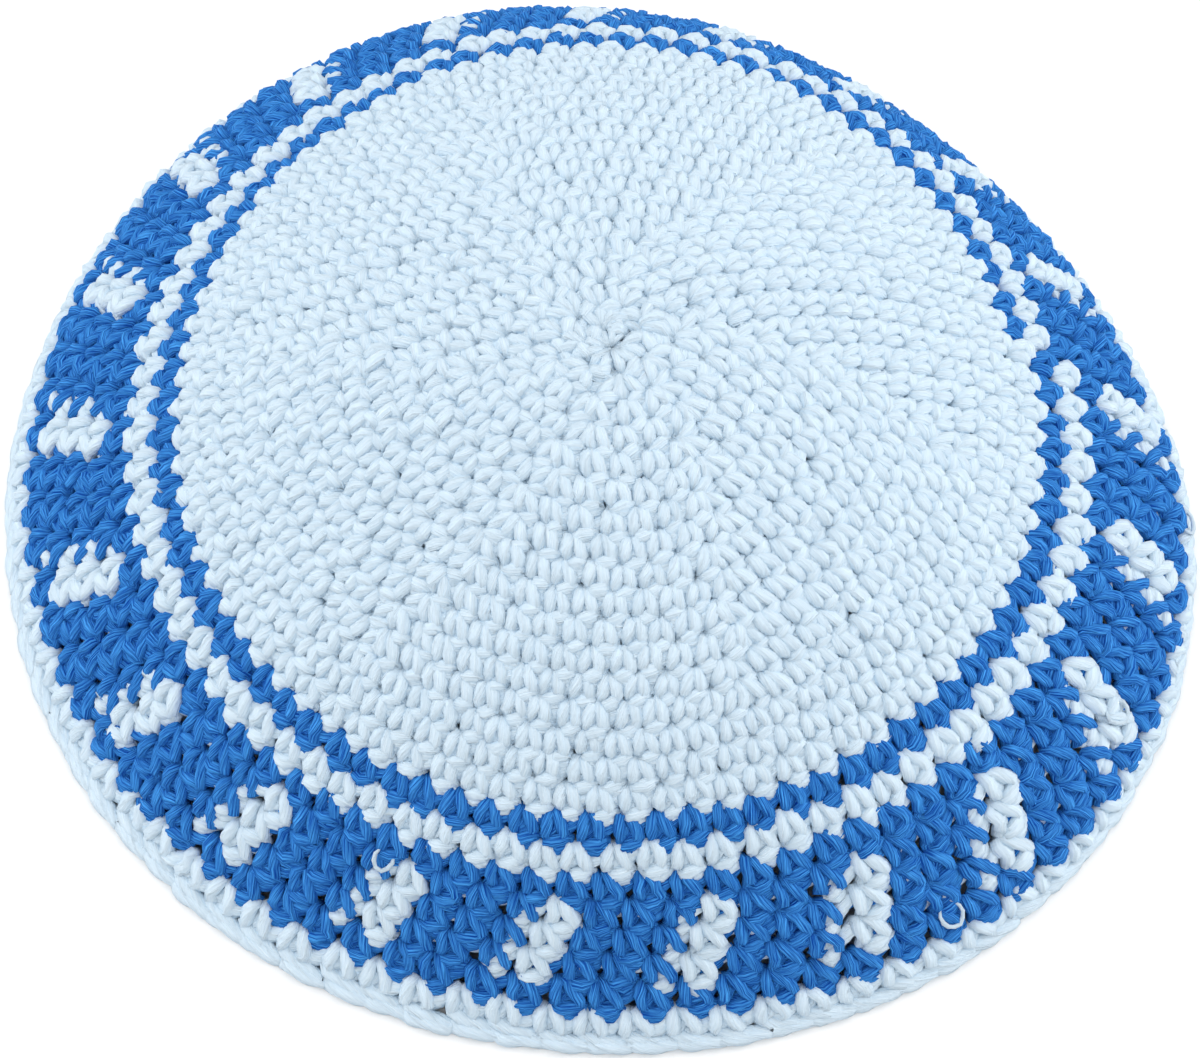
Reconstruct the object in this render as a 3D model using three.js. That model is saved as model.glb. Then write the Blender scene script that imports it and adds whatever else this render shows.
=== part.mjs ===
// A hand-crocheted kippah lying mouth down: a domed cotton cap worked in one continuous spiral from
// the middle of the crown out to the rim. The white crown comes first, then a blue stripe, a white
// stripe, a patterned blue band and a white edging. Each is a ring of the same wall, cut along the
// spiral where the yarn changes colour. Millimetres, +Z up, the mouth resting on z = 0.
import * as THREE from "three";
import { mergeVertices } from "three/addons/utils/BufferGeometryUtils.js";

// Rounds, counted along the curve from the middle of the crown to the rim
const CROWN_ROUNDS = 17;
const CROWN_ROUND_HEIGHT = 3.45;
const BAND_ROUND_HEIGHT = 3.8;
const STRIPE_ROUNDS = 1;
const PATTERN_ROUNDS = 5;
const EDGING_HEIGHT = 5.7;
const STITCHES_PER_ROUND = 84;

// The wall, and the gap left where the yarn changes colour
const WALL = 2.6;
const GAP = 0.3;

// Strips of facets across each ring, and the distance under which two corners are one
const CROWN_STRIPS = 8;
const STRIPE_STRIPS = 1;
const BAND_STRIPS = 4;
const EDGING_STRIPS = 2;
const WELD = 1e-4;

// Slope of the dome: level at the middle, steeper to the shoulder and steepest at the rim
const SHOULDER_SLOPE = THREE.MathUtils.degToRad(37.5);
const RIM_SLOPE = THREE.MathUtils.degToRad(54);
const CROWN_SLOPE_POWER = 0.87;

// Where each round starts. The colour edges climb by one round over a turn and step back there.
const SPIRAL_START = THREE.MathUtils.degToRad(15);

// Soft waves of the cloth. A reach moves the wall outwards and a lift raises it, both by size
// millimetres at the azimuth in degrees, with as many folds in a turn. The hem is the last stretch
// above the rim, which curls in on the far side and out on the near one.
const HEM_DEPTH = 15;
const WAVES = [
  { place: "shoulder_reach", folds: 1, size: 1.0, azimuth: 122 },
  { place: "shoulder_lift", folds: 1, size: 2.3, azimuth: 223 },
  { place: "shoulder_lift", folds: 2, size: 1.0, azimuth: 284 },
  { place: "shoulder_lift", folds: 3, size: 0.5, azimuth: 313 },
  { place: "rim_reach", folds: 0, size: 1.1, azimuth: 0 },
  { place: "rim_reach", folds: 1, size: 1.8, azimuth: 214 },
  { place: "rim_reach", folds: 2, size: 3.9, azimuth: 153 },
  { place: "rim_reach", folds: 3, size: 1.1, azimuth: 95 },
  { place: "hem_reach", folds: 0, size: -2.4, azimuth: 0 },
  { place: "hem_reach", folds: 1, size: 3.3, azimuth: 259 },
  { place: "hem_reach", folds: 2, size: 1.2, azimuth: 48 },
  { place: "hem_reach", folds: 3, size: 0.5, azimuth: 27 },
];

// Places along the curve, measured from the middle of the crown
const SHOULDER = CROWN_ROUNDS * CROWN_ROUND_HEIGHT;
const BLUE_STRIPE_END = SHOULDER + STRIPE_ROUNDS * BAND_ROUND_HEIGHT;
const WHITE_STRIPE_END = BLUE_STRIPE_END + STRIPE_ROUNDS * BAND_ROUND_HEIGHT;
const PATTERN_END = WHITE_STRIPE_END + PATTERN_ROUNDS * BAND_ROUND_HEIGHT;
const RIM = PATTERN_END + EDGING_HEIGHT;
const HEM = RIM - HEM_DEPTH;

function slopeAt(along) {
  if (along < SHOULDER) return SHOULDER_SLOPE * (along / SHOULDER) ** CROWN_SLOPE_POWER;
  return THREE.MathUtils.mapLinear(along, SHOULDER, RIM, SHOULDER_SLOPE, RIM_SLOPE);
}

// The dome's profile, added up in short straight steps, as radius and drop below the middle
const PROFILE_STEPS = 364;
const PROFILE_STEP = RIM / PROFILE_STEPS;
const PROFILE = [new THREE.Vector2(0, 0)];
for (let step = 0; step < PROFILE_STEPS; step++) {
  const slope = slopeAt((step + 0.5) * PROFILE_STEP);
  const stride = new THREE.Vector2(Math.cos(slope), Math.sin(slope)).multiplyScalar(PROFILE_STEP);
  PROFILE.push(stride.add(PROFILE[step]));
}
const HEIGHT = PROFILE[PROFILE_STEPS].y;

function profileAt(along) {
  const step = Math.min(Math.floor(along / PROFILE_STEP), PROFILE_STEPS - 1);
  return PROFILE[step].clone().lerp(PROFILE[step + 1], along / PROFILE_STEP - step);
}

function waveAt(place, azimuth) {
  let total = 0;
  for (const wave of WAVES.filter((row) => row.place === place)) {
    total += wave.size * Math.cos(wave.folds * (azimuth - THREE.MathUtils.degToRad(wave.azimuth)));
  }
  return total;
}

// A point of the wall: along the curve from the middle, in from the outer face, and round the cap
function wallPoint(along, depth, azimuth) {
  const { x: radius, y: drop } = profileAt(along);
  const slope = slopeAt(along);
  const rise = THREE.MathUtils.smoothstep(along, 0, SHOULDER);
  const spread = THREE.MathUtils.smoothstep(along, SHOULDER, RIM);
  const shoulder = rise - spread;
  const hem = THREE.MathUtils.clamp((along - HEM) / (RIM - HEM), 0, 1) ** 2;
  const reach = shoulder * waveAt("shoulder_reach", azimuth)
    + spread * waveAt("rim_reach", azimuth)
    + hem * waveAt("hem_reach", azimuth);
  const lift = shoulder * waveAt("shoulder_lift", azimuth);
  const r = radius + reach - depth * Math.sin(slope);
  const z = HEIGHT - drop + lift - depth * Math.cos(slope);
  return new THREE.Vector3(r * Math.cos(azimuth), r * Math.sin(azimuth), Math.max(z, 0));
}

// A colour edge: it climbs from half a round below its place to half a round above, all in one turn
function spiralEdge(place, roundHeight, gapSide) {
  return (column) => {
    const turn = (column % STITCHES_PER_ROUND) / (STITCHES_PER_ROUND - 1);
    return place + (turn - 0.5) * roundHeight + gapSide * GAP / 2;
  };
}

function level(place) {
  return () => place;
}

// One ring of the wall between two edges. The inner face may stop short of the outer one, so that
// the rim's end is level.
function wallRing(start, end, strips, innerShort = 0) {
  const outline = [];
  for (let i = 0; i <= strips; i++) outline.push({ share: i / strips, depth: WALL, short: innerShort });
  for (let i = strips; i >= 0; i--) outline.push({ share: i / strips, depth: 0, short: 0 });
  const onAxis = start(0) === 0;
  if (!onAxis) outline.push(outline[0]);
  const section = outline.map(({ share, depth }) => new THREE.Vector2(share, -depth));
  const geometry = new THREE.LatheGeometry(section, STITCHES_PER_ROUND);
  const position = geometry.getAttribute("position");
  for (let column = 0; column <= STITCHES_PER_ROUND; column++) {
    const azimuth = SPIRAL_START + (column % STITCHES_PER_ROUND) / STITCHES_PER_ROUND * 2 * Math.PI;
    outline.forEach(({ share, depth, short }, k) => {
      const along = THREE.MathUtils.lerp(start(column), end(column) - short, share);
      const point = wallPoint(along, depth, azimuth);
      position.setXYZ(column * outline.length + k, point.x, point.y, point.z);
    });
  }
  geometry.deleteAttribute("normal");
  geometry.deleteAttribute("uv");
  const closed = mergeVertices(geometry, WELD);
  closed.computeVertexNormals();
  return closed;
}

const WHITE_COTTON = new THREE.MeshStandardMaterial({ color: 0xcce1f3, roughness: 0.75, metalness: 0 });
const BLUE_COTTON = new THREE.MeshStandardMaterial({ color: 0x397bc3, roughness: 0.7, metalness: 0 });

function namedMesh(name, geometry, material) {
  const mesh = new THREE.Mesh(geometry, material);
  mesh.name = name;
  return mesh;
}

// The white crown, closed over the middle
const crown = namedMesh(
  "crown",
  wallRing(level(0), spiralEdge(SHOULDER, CROWN_ROUND_HEIGHT, -1), CROWN_STRIPS),
  WHITE_COTTON,
);

// One blue round below the crown
const blueStripe = namedMesh(
  "blue_stripe",
  wallRing(
    spiralEdge(SHOULDER, CROWN_ROUND_HEIGHT, 1),
    spiralEdge(BLUE_STRIPE_END, BAND_ROUND_HEIGHT, -1),
    STRIPE_STRIPS,
  ),
  BLUE_COTTON,
);

// One white round below the blue one
const whiteStripe = namedMesh(
  "white_stripe",
  wallRing(
    spiralEdge(BLUE_STRIPE_END, BAND_ROUND_HEIGHT, 1),
    spiralEdge(WHITE_STRIPE_END, BAND_ROUND_HEIGHT, -1),
    STRIPE_STRIPS,
  ),
  WHITE_COTTON,
);

// The blue band, whose middle rounds carry the worked-in white bars
const patternedBand = namedMesh(
  "patterned_band",
  wallRing(
    spiralEdge(WHITE_STRIPE_END, BAND_ROUND_HEIGHT, 1),
    spiralEdge(PATTERN_END, BAND_ROUND_HEIGHT, -1),
    BAND_STRIPS,
  ),
  BLUE_COTTON,
);

// The white edging, level where it rests
const edging = namedMesh(
  "edging",
  wallRing(
    spiralEdge(PATTERN_END, BAND_ROUND_HEIGHT, 1),
    level(RIM),
    EDGING_STRIPS,
    WALL / Math.tan(RIM_SLOPE),
  ),
  WHITE_COTTON,
);

const kippah = new THREE.Group();
kippah.add(crown, blueStripe, whiteStripe, patternedBand, edging);

// The origin is under the middle of the cap's own box
const middle = new THREE.Box3().setFromObject(kippah, true).getCenter(new THREE.Vector3());
kippah.position.set(-middle.x, -middle.y, 0);

export default kippah;
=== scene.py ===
# A hand-crocheted cotton kippah lying mouth down. It is worked in one spiral of single crochet from the
# middle of the crown to the rim: a white crown, a blue stripe, a white stripe, a blue band with white
# bars, and a white edging. Metres, +Z up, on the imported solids' own frame.
import math

import bpy
import numpy as np
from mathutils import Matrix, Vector


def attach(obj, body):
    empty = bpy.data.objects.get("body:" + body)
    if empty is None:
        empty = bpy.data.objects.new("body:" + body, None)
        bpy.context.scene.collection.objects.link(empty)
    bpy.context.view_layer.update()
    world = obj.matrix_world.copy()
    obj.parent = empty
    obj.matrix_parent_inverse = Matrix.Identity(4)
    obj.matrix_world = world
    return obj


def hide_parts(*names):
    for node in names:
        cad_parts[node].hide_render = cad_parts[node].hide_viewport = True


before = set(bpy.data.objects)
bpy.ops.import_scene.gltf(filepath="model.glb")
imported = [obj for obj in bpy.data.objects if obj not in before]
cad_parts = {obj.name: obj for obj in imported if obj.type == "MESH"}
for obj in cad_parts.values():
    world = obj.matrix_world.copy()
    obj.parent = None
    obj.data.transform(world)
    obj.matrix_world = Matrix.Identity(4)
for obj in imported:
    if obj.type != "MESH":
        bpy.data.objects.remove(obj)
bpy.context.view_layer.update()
bpy.ops.object.select_all(action="DESELECT")

# The view of the photograph
# Taken from high above the near side, close enough for the near stitches to look larger than the far
# ones. The aim is measured from the point on the floor under the middle of the crown.
CAMERA_ELEVATION = math.radians(66.2)
CAMERA_DISTANCE = 0.455
CAMERA_AIM_FROM_FLOOR = np.array([-0.00126, -0.00962, 0.0091])
CAMERA_LENS_MM = 106.6
CAMERA_CLIP_START = 0.01
SENSOR_WIDTH_MM = 36.0

crown_solid = np.array([vertex.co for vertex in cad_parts["crown"].data.vertices])
pole = crown_solid[crown_solid[:, 2].argmax()]
aim = np.array([pole[0], pole[1], 0.0]) + CAMERA_AIM_FROM_FLOOR
towards_camera = np.array([0.0, -math.cos(CAMERA_ELEVATION), math.sin(CAMERA_ELEVATION)])
bpy.ops.object.camera_add(
    location=aim + CAMERA_DISTANCE * towards_camera,
    rotation=(math.pi / 2 - CAMERA_ELEVATION, 0.0, 0.0),
)
camera = bpy.context.object
camera.name = "photo_view"
camera.data.lens = CAMERA_LENS_MM
camera.data.sensor_width = SENSOR_WIDTH_MM
camera.data.sensor_fit = "HORIZONTAL"
camera.data.clip_start = CAMERA_CLIP_START
bpy.context.scene.camera = camera

# The crown: seventeen rounds of white single crochet, started from a ring of six stitches, with six
# more in each round until there are 84. Plied cotton, hooked into one continuous spiral, and made as a
# strand that follows the real path of the yarn through every stitch.
CROWN_ROUNDS = 17
CROWN_ROUND_HEIGHT = 0.00345
BAND_ROUND_HEIGHT = 0.0038
BAND_ROUNDS = 7
EDGING_HEIGHT = 0.0057
RIM_CHAIN_INSET = 0.0013
WALL = 0.0026
# The first two rounds are drawn in round the starting loop. They start at these shares of a round from
# the middle, and climb by these over their turn.
FIRST_ROUND_START, FIRST_ROUND_CLIMB = 0.04, 0.18
SECOND_ROUND_START, SECOND_ROUND_CLIMB = 0.68, 0.82
# Every later round starts half a round inside its place, and ends half a round outside it
HALF_ROUND = 0.5
# Below the two stripes each round is worked a little shorter, so that the edging stands taller
STRIPE_ROUNDS = 2
BAND_SQUEEZE = 0.00015
SHOULDER = CROWN_ROUNDS * CROWN_ROUND_HEIGHT
RIM = SHOULDER + BAND_ROUNDS * BAND_ROUND_HEIGHT + EDGING_HEIGHT
HEM_DEPTH = 0.015
HEM = RIM - HEM_DEPTH
SHOULDER_SLOPE = math.radians(37.5)
RIM_SLOPE = math.radians(54)
CROWN_SLOPE_POWER = 0.87
SPIRAL_START = math.radians(15)
CROWN_INCREASE = 6
STITCHES_PER_ROUND = 84
ROUNDS = CROWN_ROUNDS + BAND_ROUNDS + 1
# A stitch is hooked under the two strands of the one below, this far along it
HOLE_SHIFT = 0.74

# Soft waves of the cloth: where they are, folds in a turn, size, and azimuth in degrees
WAVES = [
    ("shoulder_reach", 1, 0.0010, 122),
    ("shoulder_lift", 1, 0.0023, 223),
    ("shoulder_lift", 2, 0.0010, 284),
    ("shoulder_lift", 3, 0.0005, 313),
    ("rim_reach", 0, 0.0011, 0),
    ("rim_reach", 1, 0.0018, 214),
    ("rim_reach", 2, 0.0039, 153),
    ("rim_reach", 3, 0.0011, 95),
    ("hem_reach", 0, -0.0024, 0),
    ("hem_reach", 1, 0.0033, 259),
    ("hem_reach", 2, 0.0012, 48),
    ("hem_reach", 3, 0.0005, 27),
]


def slope_at(along):
    in_crown = SHOULDER_SLOPE * (np.clip(along, 0, SHOULDER) / SHOULDER) ** CROWN_SLOPE_POWER
    past_shoulder = np.clip((along - SHOULDER) / (RIM - SHOULDER), 0, 1)
    return in_crown + (RIM_SLOPE - SHOULDER_SLOPE) * past_shoulder


def smooth_between(value, low, high):
    share = np.clip((value - low) / (high - low), 0, 1)
    return share * share * (3 - 2 * share)


def wave_at(place, azimuth):
    return sum(
        size * np.cos(folds * (azimuth - math.radians(crest)))
        for where, folds, size, crest in WAVES
        if where == place
    )


PROFILE_POINTS = 365
PROFILE_ALONG = np.linspace(0, RIM, PROFILE_POINTS)
profile_slope = slope_at((PROFILE_ALONG[1:] + PROFILE_ALONG[:-1]) / 2)
profile_step = RIM / len(profile_slope)
PROFILE_RADIUS = np.concatenate([[0], np.cumsum(np.cos(profile_slope)) * profile_step])
PROFILE_DROP = np.concatenate([[0], np.cumsum(np.sin(profile_slope)) * profile_step])


def cap_point(along, azimuth, above):
    """Points of the cap: along the curve from its middle, round it, and above the middle of its wall."""
    slope = slope_at(along)
    spread = smooth_between(along, SHOULDER, RIM)
    shoulder = smooth_between(along, 0, SHOULDER) - spread
    hem = np.clip((along - HEM) / (RIM - HEM), 0, 1) ** 2
    reach = (
        shoulder * wave_at("shoulder_reach", azimuth)
        + spread * wave_at("rim_reach", azimuth)
        + hem * wave_at("hem_reach", azimuth)
    )
    depth = WALL / 2 - above
    radius = np.interp(along, PROFILE_ALONG, PROFILE_RADIUS) + reach - depth * np.sin(slope)
    height = pole[2] - np.interp(along, PROFILE_ALONG, PROFILE_DROP) - depth * np.cos(slope)
    height = height + shoulder * wave_at("shoulder_lift", azimuth)
    return np.stack([pole[0] + radius * np.cos(azimuth), pole[1] + radius * np.sin(azimuth), height], -1)


def round_edge(number, turn):
    """Where a round starts along the curve as it climbs over its turn, or the rim after the last one."""
    if number == 1:
        return CROWN_ROUND_HEIGHT * (FIRST_ROUND_START + FIRST_ROUND_CLIMB * turn)
    if number == 2:
        return CROWN_ROUND_HEIGHT * (SECOND_ROUND_START + SECOND_ROUND_CLIMB * turn)
    if number <= CROWN_ROUNDS + 1:
        return CROWN_ROUND_HEIGHT * (number - 1 - HALF_ROUND + turn)
    if number <= ROUNDS:
        worked = number - CROWN_ROUNDS - 1 - HALF_ROUND + turn
        return SHOULDER + BAND_ROUND_HEIGHT * worked - BAND_SQUEEZE * max(worked - STRIPE_ROUNDS, 0)
    return RIM - RIM_CHAIN_INSET


# Every stitch of the cap, in the order that it is worked: its round, its number in that round, its
# azimuth and width as angles, where it starts along the curve, and its height
stitch_rows = []
azimuth = 0.0
for number in range(1, ROUNDS + 1):
    count = min(CROWN_INCREASE * number, STITCHES_PER_ROUND)
    pitch = 2 * math.pi / (count + 1 - HOLE_SHIFT)
    if number == CROWN_ROUNDS + 1:
        spiral_turn = SPIRAL_START - azimuth
    for k in range(count):
        base = round_edge(number, k / count)
        stitch_rows.append((number, k, azimuth, pitch, base, round_edge(number + 1, k / count) - base))
        azimuth += pitch
STITCHES = {
    name: np.array(column)
    for name, column in zip(("round", "index", "azimuth", "pitch", "base", "height"), zip(*stitch_rows))
}
# How far each stitch leans over to the nearest hole of the round below, which is one turn earlier
hole_azimuth = STITCHES["azimuth"] + HOLE_SHIFT * STITCHES["pitch"] + 2 * math.pi
after = np.clip(np.searchsorted(hole_azimuth, STITCHES["azimuth"]), 1, None)
nearer_before = (
    STITCHES["azimuth"] - hole_azimuth[after - 1] < hole_azimuth[after] - STITCHES["azimuth"]
)
nearest_hole = hole_azimuth[np.where(nearer_before, after - 1, after)]
STITCHES["hole_lean"] = np.where(STITCHES["round"] > 1, nearest_hole - STITCHES["azimuth"], 0.0)
STITCHES["azimuth"] = STITCHES["azimuth"] + spiral_turn

# The yarn's way through one stitch, from its start to its end. The columns are the place around the
# cap from the hole, in stitches; the place across the round, in rounds; the height above the middle of
# the wall, in millimetres; and the girth, as a share of the yarn's.
AROUND, ACROSS, ABOVE = range(3)
SINGLE_CROCHET = np.array([
    # across the back from the last stitch's chain, and through the hole
    (-0.90, 0.85, -0.50, 1.10), (-0.45, 0.45, -0.10, 1.25), (-0.16, 0.16, -0.48, 1.05),
    (-0.085, 0.05, -0.34, 0.88),
    # the first leg out over the front, and the turn behind the chain
    (-0.11, 0.10, 0.16, 0.97), (-0.12, 0.24, 0.58, 1.02), (-0.13, 0.46, 0.74, 1.03),
    (-0.14, 0.67, 0.56, 0.98), (-0.12, 0.83, 0.02, 0.88), (0.08, 0.92, -0.38, 0.84),
    (0.30, 0.87, -0.06, 0.88),
    # the second leg back into the hole, and up the back
    (0.40, 0.74, 0.48, 0.97), (0.35, 0.52, 0.74, 1.03), (0.25, 0.27, 0.60, 1.02),
    (0.15, 0.11, 0.16, 0.97), (0.10, 0.05, -0.34, 0.88), (0.06, 0.12, -0.56, 1.00),
    (0.09, 0.50, -0.04, 1.20), (-0.12, 0.92, -0.42, 1.00),
    # the chain: its front strand, the end of the loop, and its back strand
    (-0.11, 1.10, -0.35, 0.92), (0.04, 1.08, 0.28, 1.08), (0.20, 1.00, 0.53, 1.17),
    (0.37, 0.90, 0.37, 1.10), (0.52, 0.85, -0.22, 0.94), (0.58, 0.99, -0.48, 0.90),
    (0.46, 1.13, -0.06, 1.02), (0.22, 1.24, 0.17, 1.09), (0.04, 1.23, 0.00, 1.02),
    (-0.06, 1.10, -0.52, 0.92),
])
CHAIN_START_ROW = 19
# A yarn's girth is given as the radius of its strand
WHITE_YARN = 0.00099
# Where stitches crowd together near the middle, the yarn is pulled thinner
EASY_PITCH, TIGHTEST = 0.0027, 0.52
MILLIMETRE = 0.001
CLEAR_OF_POLE, CLEAR_OF_RIM = 0.0003, 0.0006
# No two stitches are alike: each leans and lifts as a whole, and each point of it by about half as much
HAND_LEAN, HAND_LIFT = 0.05, 0.10
HAND_SHAKE = 0.5
HAND_SEED = 18
uneven_hand = np.random.default_rng(HAND_SEED)
HAND = uneven_hand.normal(size=(len(stitch_rows), len(SINGLE_CROCHET), 3)) * HAND_SHAKE
HAND = HAND + uneven_hand.normal(size=(len(stitch_rows), 1, 3))


def yarn_through(stitches, yarn, pattern=SINGLE_CROCHET):
    """The yarn's control points and girth through these stitches, one row of points for each."""
    around, across, above, girth = pattern.T
    hand = HAND[stitches][:, :len(pattern)]
    row = {name: STITCHES[name][stitches][:, None] for name in STITCHES}
    lean = row["hole_lean"] * np.clip(1 - across, 0, 1)
    azimuth = row["azimuth"] + lean + row["pitch"] * (around + HAND_LEAN * hand[:, :, 0])
    along = row["base"] + row["height"] * (across + HAND_LEAN * hand[:, :, 1])
    climb = around * row["height"] / STITCHES_PER_ROUND
    along = np.clip(along + climb, CLEAR_OF_POLE, RIM - CLEAR_OF_RIM)
    tight = np.clip(row["pitch"] * along / EASY_PITCH, TIGHTEST, 1)
    points = cap_point(along, azimuth, (above + HAND_LIFT * hand[:, :, 2]) * tight * MILLIMETRE)
    return points, girth * tight * yarn


RING_SPACING = 0.00078
SPLINE_STEPS = 6
FEWEST_RINGS = 4


def smooth_strand(points, girth, spacing=RING_SPACING):
    """A smooth line through the control points, with evenly spaced rings along it."""
    ends = np.concatenate([[2 * points[0] - points[1]], points, [2 * points[-1] - points[-2]]])
    share = (np.arange(SPLINE_STEPS) / SPLINE_STEPS)[None, :, None]
    before, start, end, beyond = (ends[i:len(ends) - 3 + i][:, None, :] for i in range(4))
    bend = 2 * before - 5 * start + 4 * end - beyond
    sway = 3 * (start - end) + beyond - before
    line = start + 0.5 * share * (end - before + share * (bend + share * sway))
    line = np.concatenate([line.reshape(-1, 3), points[-1:]])
    thick = np.interp(np.arange(len(line)) / SPLINE_STEPS, np.arange(len(girth)), girth)
    length = np.concatenate([[0], np.cumsum(np.linalg.norm(np.diff(line, axis=0), axis=1))])
    at = np.linspace(0, length[-1], max(FEWEST_RINGS, int(length[-1] / spacing)))
    ring_points = np.stack([np.interp(at, length, line[:, axis]) for axis in range(3)], -1)
    return ring_points, np.interp(at, length, thick), at


PLIES = 4
SIDES = 2 * PLIES
PLY_GROOVE = 0.83
TWIST_LAY = 0.016
END_TAPER, THINNEST_END = 0.003, 0.2
# The strands that the cap rests on keep their middle at least this share of their girth above the
# floor, and are pressed flatter below this height
FLOOR_LIFT, FLOOR_PRESS = 0.62, 0.00025
NEARLY_UPRIGHT = 0.9


def strand_frames(points):
    """Two cross directions at each ring, carried along the strand without turning about it."""
    tangent = np.gradient(points, axis=0)
    tangent /= np.linalg.norm(tangent, axis=1)[:, None]
    side = np.zeros_like(points)
    upright = abs(tangent[0][2]) >= NEARLY_UPRIGHT
    first = np.cross(tangent[0], (1.0, 0.0, 0.0) if upright else (0.0, 0.0, 1.0))
    side[0] = first / np.linalg.norm(first)
    for i in range(1, len(points)):
        carried = side[i - 1] - tangent[i] * side[i - 1].dot(tangent[i])
        side[i] = carried / math.sqrt(carried.dot(carried))
    return side, np.cross(tangent, side)


def spin_yarn(name, strands, material, spacing=RING_SPACING):
    """One mesh of plied yarn along all the strands, twisted, and closed at both ends of each."""
    vertices, faces, corner_uvs = [], [], []
    first = 0
    corner = np.arange(SIDES)
    beside = (corner + 1) % SIDES
    ply_shape = np.where(corner % 2 == 0, 1.0, PLY_GROOVE)
    for points, girth in strands:
        centre, radius, length = smooth_strand(points, girth, spacing)
        radius = radius * np.clip(np.minimum(length, length[-1] - length) / END_TAPER, THINNEST_END, 1)
        centre[:, 2] = np.maximum(centre[:, 2], FLOOR_LIFT * radius)
        side, up = strand_frames(centre)
        turn = 2 * math.pi * (corner[None, :] / SIDES + length[:, None] / TWIST_LAY)
        offset = side[:, None, :] * np.cos(turn)[..., None] + up[:, None, :] * np.sin(turn)[..., None]
        rings = centre[:, None, :] + offset * (radius[:, None] * ply_shape)[..., None]
        vertices.append(rings.reshape(-1, 3))
        here = first + np.arange(len(centre) - 1)[:, None] * SIDES
        quads = np.stack([here + corner, here + beside, here + SIDES + beside, here + SIDES + corner], -1)
        faces.extend(quads.reshape(-1, 4).tolist())
        last = first + (len(centre) - 1) * SIDES
        faces.append((first + corner[::-1]).tolist())
        faces.append((last + corner).tolist())
        round_yarn = np.stack([corner, corner + 1, corner + 1, corner], -1) / SIDES
        near, far = length[:-1, None] / TWIST_LAY, length[1:, None] / TWIST_LAY
        along_yarn = np.stack(np.broadcast_arrays(near, near, far, far), -1)
        quad_uv = np.stack(np.broadcast_arrays(round_yarn[None], along_yarn), -1)
        corner_uvs.append(quad_uv.reshape(-1, 2))
        corner_uvs.append(np.zeros((2 * SIDES, 2)))
        first = last + SIDES
    place = np.concatenate(vertices)
    pressed = FLOOR_PRESS * np.exp(np.minimum(place[:, 2] / FLOOR_PRESS - 1, 0))
    place[:, 2] = np.where(place[:, 2] < FLOOR_PRESS, pressed, place[:, 2])
    mesh = bpy.data.meshes.new(name)
    mesh.from_pydata(place.tolist(), [], faces)
    mesh.uv_layers.new(name="yarn").data.foreach_set("uv", np.concatenate(corner_uvs).ravel())
    mesh.shade_smooth()
    mesh.materials.append(material)
    piece = bpy.data.objects.new(name, mesh)
    bpy.context.collection.objects.link(piece)
    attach(piece, "root")
    return piece


# The finish of the yarn: fine threads round it that wander a little, and fibres along them. The
# stretches set how fine each pattern is, round the yarn and along one twist of it. The grooves between
# the threads are painted darker as shade, and the crests lighter as a painted highlight.
THREADS, THREAD_WANDER, THREAD_DEPTH = 11, 0.05, 0.06
FIBRE_STRETCH, FIBRE_DETAIL = (42.0, 6.0, 1.0), 3.0
WANDER_STRETCH, WANDER_DETAIL = (7.0, 9.0, 1.0), 1.0
GROOVE_LEVEL, CREST_LEVEL = 0.34, 0.70
GROOVE_ROUGHNESS, CREST_ROUGHNESS = 0.85, 0.55


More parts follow.
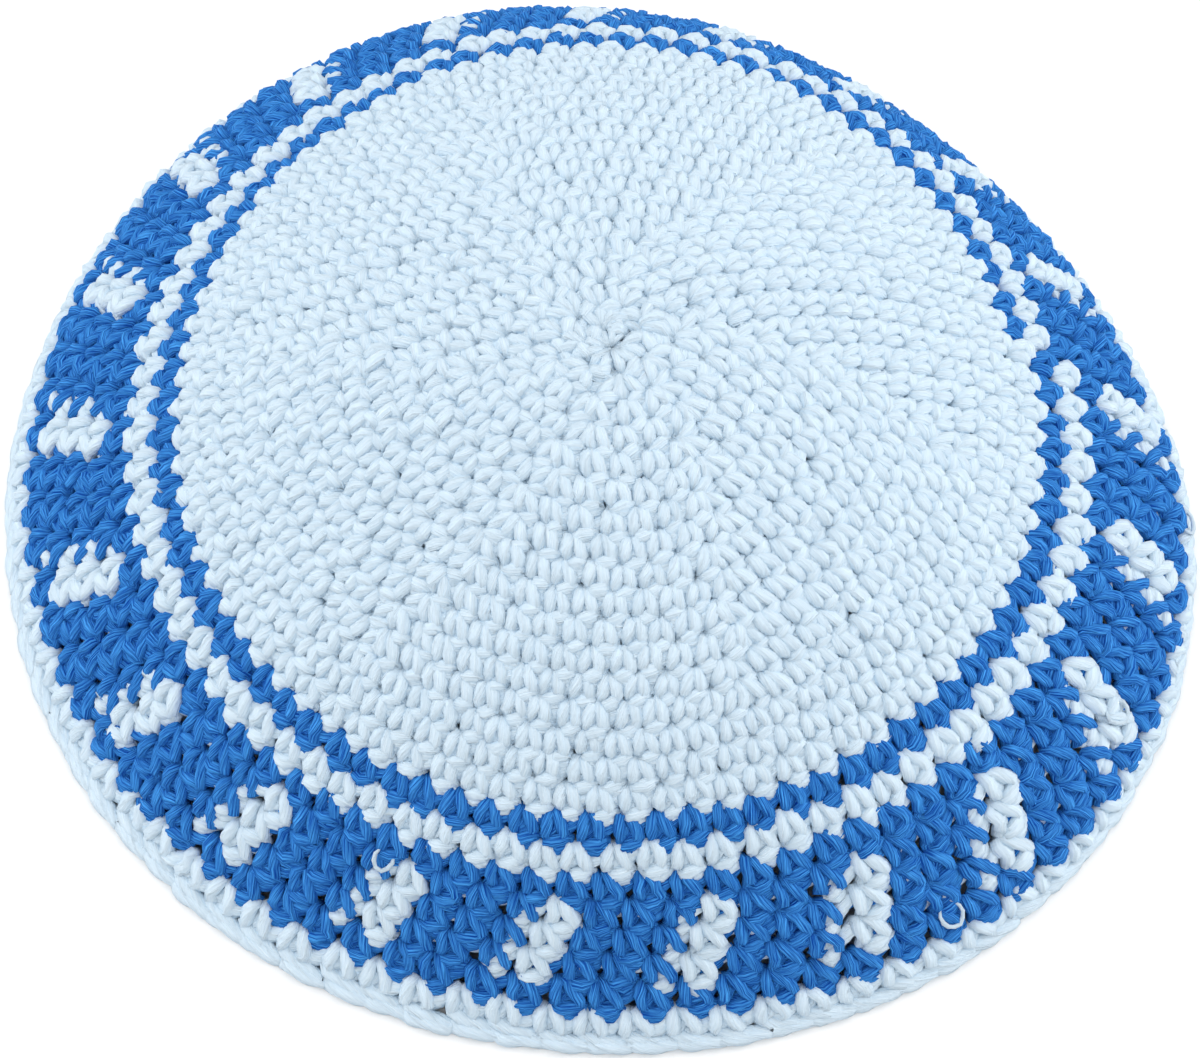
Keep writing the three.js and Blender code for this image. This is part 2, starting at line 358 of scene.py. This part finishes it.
def twisted_cotton_group():
    """Plied cotton by the yarn's own UV map: fibres along the threads, grooves between them in painted
    shade, crests in a painted highlight.
    """
    group = bpy.data.node_groups.new("twisted_cotton", "ShaderNodeTree")
    for socket, kind in (("Ply Colour With Highlight", "NodeSocketColor"), ("Groove Painted Shade", "NodeSocketColor")):
        group.interface.new_socket(socket, in_out="INPUT", socket_type=kind)
    for socket, kind in (
        ("Colour", "NodeSocketColor"), ("Roughness", "NodeSocketFloat"), ("Height", "NodeSocketFloat"),
    ):
        group.interface.new_socket(socket, in_out="OUTPUT", socket_type=kind)
    nodes, links = group.nodes, group.links
    given = nodes.new("NodeGroupInput")
    result = nodes.new("NodeGroupOutput")
    yarn = nodes.new("ShaderNodeUVMap")
    yarn.uv_map = "yarn"
    stretch = nodes.new("ShaderNodeMapping")
    stretch.inputs["Scale"].default_value = FIBRE_STRETCH
    fibres = nodes.new("ShaderNodeTexNoise")
    fibres.inputs["Scale"].default_value = 1.0
    fibres.inputs["Detail"].default_value = FIBRE_DETAIL
    links.new(yarn.outputs["UV"], stretch.inputs["Vector"])
    links.new(stretch.outputs["Vector"], fibres.inputs["Vector"])
    wander_stretch = nodes.new("ShaderNodeMapping")
    wander_stretch.inputs["Scale"].default_value = WANDER_STRETCH
    wander = nodes.new("ShaderNodeTexNoise")
    wander.inputs["Scale"].default_value = 1.0
    wander.inputs["Detail"].default_value = WANDER_DETAIL
    links.new(yarn.outputs["UV"], wander_stretch.inputs["Vector"])
    links.new(wander_stretch.outputs["Vector"], wander.inputs["Vector"])
    round_yarn = nodes.new("ShaderNodeSeparateXYZ")
    links.new(yarn.outputs["UV"], round_yarn.inputs["Vector"])
    wandering = nodes.new("ShaderNodeMath")
    wandering.operation = "MULTIPLY_ADD"
    wandering.inputs[1].default_value = THREAD_WANDER
    links.new(wander.outputs["Fac"], wandering.inputs[0])
    links.new(round_yarn.outputs["X"], wandering.inputs[2])
    thread_angle = nodes.new("ShaderNodeMath")
    thread_angle.operation = "MULTIPLY"
    thread_angle.inputs[1].default_value = 2 * math.pi * THREADS
    thread_wave = nodes.new("ShaderNodeMath")
    thread_wave.operation = "COSINE"
    links.new(wandering.outputs["Value"], thread_angle.inputs[0])
    links.new(thread_angle.outputs["Value"], thread_wave.inputs[0])
    crest = nodes.new("ShaderNodeMath")
    crest.operation = "MULTIPLY_ADD"
    crest.inputs[1].default_value = THREAD_DEPTH
    links.new(thread_wave.outputs["Value"], crest.inputs[0])
    links.new(fibres.outputs["Fac"], crest.inputs[2])
    crest_range = nodes.new("ShaderNodeMapRange")
    crest_range.inputs["From Min"].default_value = GROOVE_LEVEL
    crest_range.inputs["From Max"].default_value = CREST_LEVEL
    links.new(crest.outputs["Value"], crest_range.inputs["Value"])
    # Painted shade and highlight: the grooves between threads take the darker groove colour as painted
    # shade, the crests take the lighter ply colour as a painted highlight
    painted_groove_shade_mix = nodes.new("ShaderNodeMix")
    painted_groove_shade_mix.data_type = "RGBA"
    links.new(crest_range.outputs["Result"], painted_groove_shade_mix.inputs["Factor"])
    links.new(given.outputs["Groove Painted Shade"], painted_groove_shade_mix.inputs["A"])
    links.new(given.outputs["Ply Colour With Highlight"], painted_groove_shade_mix.inputs["B"])
    rough = nodes.new("ShaderNodeMapRange")
    rough.inputs["To Min"].default_value = GROOVE_ROUGHNESS
    rough.inputs["To Max"].default_value = CREST_ROUGHNESS
    links.new(crest_range.outputs["Result"], rough.inputs["Value"])
    links.new(painted_groove_shade_mix.outputs["Result"], result.inputs["Colour"])
    links.new(rough.outputs["Result"], result.inputs["Roughness"])
    links.new(crest_range.outputs["Result"], result.inputs["Height"])
    return group


twisted_cotton = twisted_cotton_group()
FIBRE_RELIEF, RELIEF_STRENGTH = 0.00025, 0.6
FUZZ_ROUGHNESS = 0.5


def cotton(name, ply_colour_with_highlight, groove_painted_shade, fuzz_colour, fuzz, shine):
    material = bpy.data.materials.new(name)
    material.use_nodes = True
    nodes, links = material.node_tree.nodes, material.node_tree.links
    shader = nodes["Principled BSDF"]
    shader.inputs["Sheen Weight"].default_value = fuzz
    shader.inputs["Sheen Roughness"].default_value = FUZZ_ROUGHNESS
    shader.inputs["Sheen Tint"].default_value = (*fuzz_colour, 1.0)
    shader.inputs["Specular IOR Level"].default_value = shine
    plies = nodes.new("ShaderNodeGroup")
    plies.node_tree = twisted_cotton
    # The ply colour is the yarn's own colour lightened as a painted highlight on the crests; the groove
    # colour is painted shade between the threads
    plies.inputs["Ply Colour With Highlight"].default_value = (*ply_colour_with_highlight, 1.0)
    plies.inputs["Groove Painted Shade"].default_value = (*groove_painted_shade, 1.0)
    relief = nodes.new("ShaderNodeBump")
    relief.inputs["Distance"].default_value = FIBRE_RELIEF
    relief.inputs["Strength"].default_value = RELIEF_STRENGTH
    links.new(plies.outputs["Colour"], shader.inputs["Base Color"])
    links.new(plies.outputs["Roughness"], shader.inputs["Roughness"])
    links.new(plies.outputs["Height"], relief.inputs["Height"])
    links.new(relief.outputs["Normal"], shader.inputs["Normal"])
    return material


# White cotton: the lighter ply colour is a painted highlight on the crests, the darker groove colour is
# painted shade between the threads
white_cotton = cotton(
    "white_cotton",
    ply_colour_with_highlight=(0.74, 0.87, 0.97),
    groove_painted_shade=(0.65, 0.80, 0.925),
    fuzz_colour=(0.70, 0.87, 1.0),
    fuzz=0.25,
    shine=0.2,
)


def worked_rounds(first, last):
    """The indices of the stitches from one round to another."""
    return np.flatnonzero((STITCHES["round"] >= first) & (STITCHES["round"] <= last))


def one_strand(stitches, yarn, pattern=SINGLE_CROCHET):
    points, girth = yarn_through(stitches, yarn, pattern)
    return points.reshape(-1, 3), girth.reshape(-1)


# The loop that the first stitches are worked round, wound flat under the middle of the crown. Its tail
# comes in to the middle, and from there the loop winds outwards.
LOOP_TURNS = 3
LOOP_POINTS, TAIL_POINTS = 31, 5
TAIL_OUTER, TAIL_INNER = 0.0045, 0.0003
LOOP_INNER, LOOP_OUTER = 0.0005, 0.0042
LOOP_ABOVE, LOOP_GIRTH = -0.0005, 0.0008
loop_angle = np.linspace(-2.0 * LOOP_TURNS, 0.0, LOOP_POINTS) * math.pi
loop_radius = np.concatenate([
    np.linspace(TAIL_OUTER, TAIL_INNER, TAIL_POINTS),
    np.linspace(LOOP_INNER, LOOP_OUTER, LOOP_POINTS - TAIL_POINTS),
])
starting_loop = cap_point(loop_radius, STITCHES["azimuth"][0] + loop_angle, LOOP_ABOVE)
starting_loop_girth = np.full(LOOP_POINTS, LOOP_GIRTH)

# The crown's first and last rounds in each of three lengths, which keep the meshes a handy size
CROWN_PIECES = {"crown_middle": (1, 10), "crown_rounds": (11, 14), "crown_shoulder": (15, CROWN_ROUNDS)}
for name, (first_round, last_round) in CROWN_PIECES.items():
    strands = [one_strand(worked_rounds(first_round, last_round), WHITE_YARN)]
    if first_round == 1:
        strands.append((starting_loop, starting_loop_girth))
    piece = spin_yarn(name, strands, white_cotton)
    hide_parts("crown")

# The blue stripe: one round of blue single crochet, hooked into the crown's last round. The same plied
# cotton in a thinner strand, dyed blue, with painted shade between its threads and a painted highlight
# on their crests, more fuzz and less shine.
blue_cotton = cotton(
    "blue_cotton",
    ply_colour_with_highlight=(0.075, 0.40, 0.95),
    groove_painted_shade=(0.0, 0.05, 0.33),
    fuzz_colour=(0.04, 0.36, 1.0),
    fuzz=0.35,
    shine=0.1,
)
BLUE_YARN = 0.00086
BLUE_STRIPE_ROUND = CROWN_ROUNDS + 1
blue_stripe = spin_yarn(
    "blue_stripe_stitches",
    [one_strand(worked_rounds(BLUE_STRIPE_ROUND, BLUE_STRIPE_ROUND), BLUE_YARN)],
    blue_cotton,
)
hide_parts("blue_stripe")

# The white stripe: one round of white single crochet, whose stitches stand apart as small white
# triangles between the blue rounds on either side.
WHITE_STRIPE_ROUND = BLUE_STRIPE_ROUND + 1
white_stripe = spin_yarn(
    "white_stripe_stitches",
    [one_strand(worked_rounds(WHITE_STRIPE_ROUND, WHITE_STRIPE_ROUND), WHITE_YARN)],
    white_cotton,
)
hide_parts("white_stripe")

# The patterned band: five blue rounds. In the middle three, every fourth stitch is white, so that the
# white stitches stack up into short bars. The chain before each white stitch is white as well, because
# the colour is changed on the last loop of the stitch before it.
BAND_FIRST_ROUND = WHITE_STRIPE_ROUND + 1
BAND_LAST_ROUND = CROWN_ROUNDS + BAND_ROUNDS
BAR_FIRST_ROUND, BAR_LAST_ROUND = BAND_FIRST_ROUND + 1, BAND_LAST_ROUND - 1
BAR_REPEAT, BAR_STITCH = 4, 3

band = worked_rounds(BAND_FIRST_ROUND, BAND_LAST_ROUND)
in_bar_round = (STITCHES["round"] >= BAR_FIRST_ROUND) & (STITCHES["round"] <= BAR_LAST_ROUND)
is_white = in_bar_round & (STITCHES["index"] % BAR_REPEAT == BAR_STITCH)
first_bar, last_bar = np.flatnonzero(is_white)[[0, -1]]
# The colour that isn't being worked is carried inside the stitches, where it shows through the gaps
CARRIED = np.array([(-0.40, 0.50, -0.50, 0.80), (0.00, 0.42, -0.55, 0.75), (0.30, 0.50, -0.40, 0.85)])
# The looser stitches of the band lean over: their legs slant along the round, and the strands behind
# them lie deeper
LEG_ROWS, BAND_LEAN = slice(4, 15), 0.14
BACK_ROWS, BAND_BACK_SINK = [1, 2, 16, 17], 0.14
BAND_CROCHET = SINGLE_CROCHET.copy()
BAND_CROCHET[BACK_ROWS, ABOVE] -= BAND_BACK_SINK
leg_rise = BAND_CROCHET[LEG_ROWS, ACROSS] - BAND_CROCHET[LEG_ROWS.start, ACROSS]
BAND_CROCHET[LEG_ROWS, AROUND] += BAND_LEAN * leg_rise
# A chain where the colour changes is drawn up small
CHANGED_CHAIN_SCALE = (0.62, 1.0, 1.0, 0.78)
CHANGED_CHAIN_SHIFT = (0.10, 0.0, -0.12, 0.0)
CHANGED_CHAIN = BAND_CROCHET[CHAIN_START_ROW:] * CHANGED_CHAIN_SCALE + CHANGED_CHAIN_SHIFT
blue_path, white_path = [], []
for stitch in band:
    here = np.array([stitch])
    white_chain = is_white[stitch + 1]
    if is_white[stitch]:
        blue_path.append(yarn_through(here, BLUE_YARN, CARRIED))
        white_path.append(yarn_through(here, WHITE_YARN, BAND_CROCHET))
        continue
    blue_rows = BAND_CROCHET[:CHAIN_START_ROW] if white_chain else BAND_CROCHET
    blue_path.append(yarn_through(here, BLUE_YARN, blue_rows))
    if first_bar < stitch < last_bar:
        white_path.append(yarn_through(here, WHITE_YARN, CARRIED))
    if white_chain:
        white_path.append(yarn_through(here, WHITE_YARN, CHANGED_CHAIN))
blue_strands, white_strands = (
    [tuple(np.concatenate([row[part][0] for row in path]) for part in range(2))]
    for path in (blue_path, white_path)
)
# In a few stitches, given by round and number, a single thread has been pulled out of the white yarn
# and stands up as a loop
LOOSE_THREAD = np.array([
    (0.10, 0.50, -0.40, 0.30), (0.00, 0.75, 0.50, 0.32), (-0.14, 1.00, 1.30, 0.32),
    (-0.05, 1.35, 1.70, 0.32), (0.25, 1.40, 1.70, 0.32), (0.40, 1.10, 1.30, 0.32),
    (0.30, 0.80, 0.60, 0.32), (0.15, 0.60, -0.40, 0.30),
])
LOOSE_STITCHES = [(20, 54), (22, 75), (23, 69), (24, 81)]
for number, index in LOOSE_STITCHES:
    here = np.flatnonzero((STITCHES["round"] == number) & (STITCHES["index"] == index))
    white_strands.append(one_strand(here, WHITE_YARN, LOOSE_THREAD))
BAND_RING_SPACING = 0.0009
band_stitches = spin_yarn("band_blue_stitches", blue_strands, blue_cotton, BAND_RING_SPACING)
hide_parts("patterned_band")
bar_stitches = spin_yarn("band_white_bars", white_strands, white_cotton)
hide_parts("patterned_band")

# The edging: one last white round, a little taller, with its chain lying open along the rim and its
# lowest strands pressed flat where the cap rests.
EDGING_CROCHET = np.array([
    # across the back, and through the hole
    (-0.90, 0.80, -0.50, 1.20), (-0.45, 0.50, -0.20, 1.45), (-0.16, 0.16, -0.55, 1.10),
    (-0.085, 0.03, -0.40, 0.90),
    # the two legs
    (-0.12, 0.08, 0.25, 1.05), (-0.13, 0.26, 0.60, 1.12), (-0.13, 0.48, 0.58, 1.10),
    (-0.12, 0.64, 0.28, 1.00), (-0.08, 0.74, -0.15, 0.92), (0.10, 0.76, -0.25, 0.92),
    (0.32, 0.70, 0.10, 0.98), (0.40, 0.56, 0.48, 1.08), (0.34, 0.39, 0.62, 1.12),
    (0.26, 0.21, 0.56, 1.10), (0.17, 0.08, 0.25, 1.05), (0.10, 0.03, -0.40, 0.90),
    (0.06, 0.12, -0.60, 1.00), (0.10, 0.45, -0.25, 1.25), (-0.16, 0.70, -0.40, 1.05),
    # the chain, open along the rim
    (-0.16, 0.72, -0.05, 1.00), (0.00, 0.78, 0.28, 1.12), (0.27, 0.83, 0.38, 1.18),
    (0.55, 0.88, 0.28, 1.14), (0.85, 0.97, 0.10, 1.06), (1.08, 1.07, -0.10, 0.98),
    (0.95, 1.16, -0.05, 1.06), (0.55, 1.18, 0.05, 1.14), (0.15, 1.17, 0.04, 1.12),
    (-0.06, 1.04, -0.30, 1.02),
])
# At the far right the edging is tucked further in under the band
TUCK, TUCK_AZIMUTH, TUCK_HALF_WIDTH = 0.0018, math.radians(55), math.radians(45)
edging_points, edging_girth = yarn_through(worked_rounds(ROUNDS, ROUNDS), WHITE_YARN, EDGING_CROCHET)
from_pole = edging_points[..., :2] - pole[:2]
outwards = from_pole / np.linalg.norm(from_pole, axis=-1, keepdims=True)
from_tuck = np.arctan2(from_pole[..., 1], from_pole[..., 0]) - TUCK_AZIMUTH
tuck_share = np.cos(np.clip(from_tuck / TUCK_HALF_WIDTH, -1, 1) * math.pi / 2)
tucked = TUCK * tuck_share * EDGING_CROCHET[:, ACROSS]
edging_points[..., :2] -= tucked[..., None] * outwards
edging = spin_yarn(
    "edging_stitches",
    [(edging_points.reshape(-1, 3), edging_girth.reshape(-1))],
    white_cotton,
)
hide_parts("edging")

# The floor and the light: a plain pale floor under a large soft overhead light, with fills from the
# front and both sides and even light all round, as in a light tent.
FLOOR_SIZE = 4.0
FLOOR_COLOUR, FLOOR_ROUGHNESS = (0.9, 0.9, 0.9, 1.0), 0.9
TENT_COLOUR, TENT_STRENGTH = (1.0, 1.0, 1.0, 1.0), 0.70
bpy.ops.mesh.primitive_plane_add(size=FLOOR_SIZE)
floor = bpy.context.object
floor.name = "floor"
floor_paint = bpy.data.materials.new("pale_floor")
floor_paint.use_nodes = True
floor_shader = floor_paint.node_tree.nodes["Principled BSDF"]
floor_shader.inputs["Base Color"].default_value = FLOOR_COLOUR
floor_shader.inputs["Roughness"].default_value = FLOOR_ROUGHNESS
floor.data.materials.append(floor_paint)

# Each light's place, size and power, aimed at the cap
LIGHTS = {
    "overhead_softbox": ((-0.05, 0.10, 0.75), 1.1, 3.5),
    "front_fill": ((0.25, -0.70, 0.55), 0.6, 0.4),
    "right_fill": ((0.72, 0.12, 0.22), 0.5, 2.4),
    "left_fill": ((-0.72, 0.10, 0.24), 0.5, 1.8),
}
for name, (place, size, power) in LIGHTS.items():
    bpy.ops.object.light_add(type="AREA", location=place)
    light = bpy.context.object
    light.name = name
    light.data.size = size
    light.data.energy = power
    light.rotation_euler = (-Vector(place)).to_track_quat("-Z", "Y").to_euler()
world = bpy.data.worlds.new("light_tent")
world.use_nodes = True
tent = world.node_tree.nodes["Background"]
tent.inputs["Color"].default_value = TENT_COLOUR
tent.inputs["Strength"].default_value = TENT_STRENGTH
bpy.context.scene.world = world
bpy.context.scene.view_settings.view_transform = "Standard"
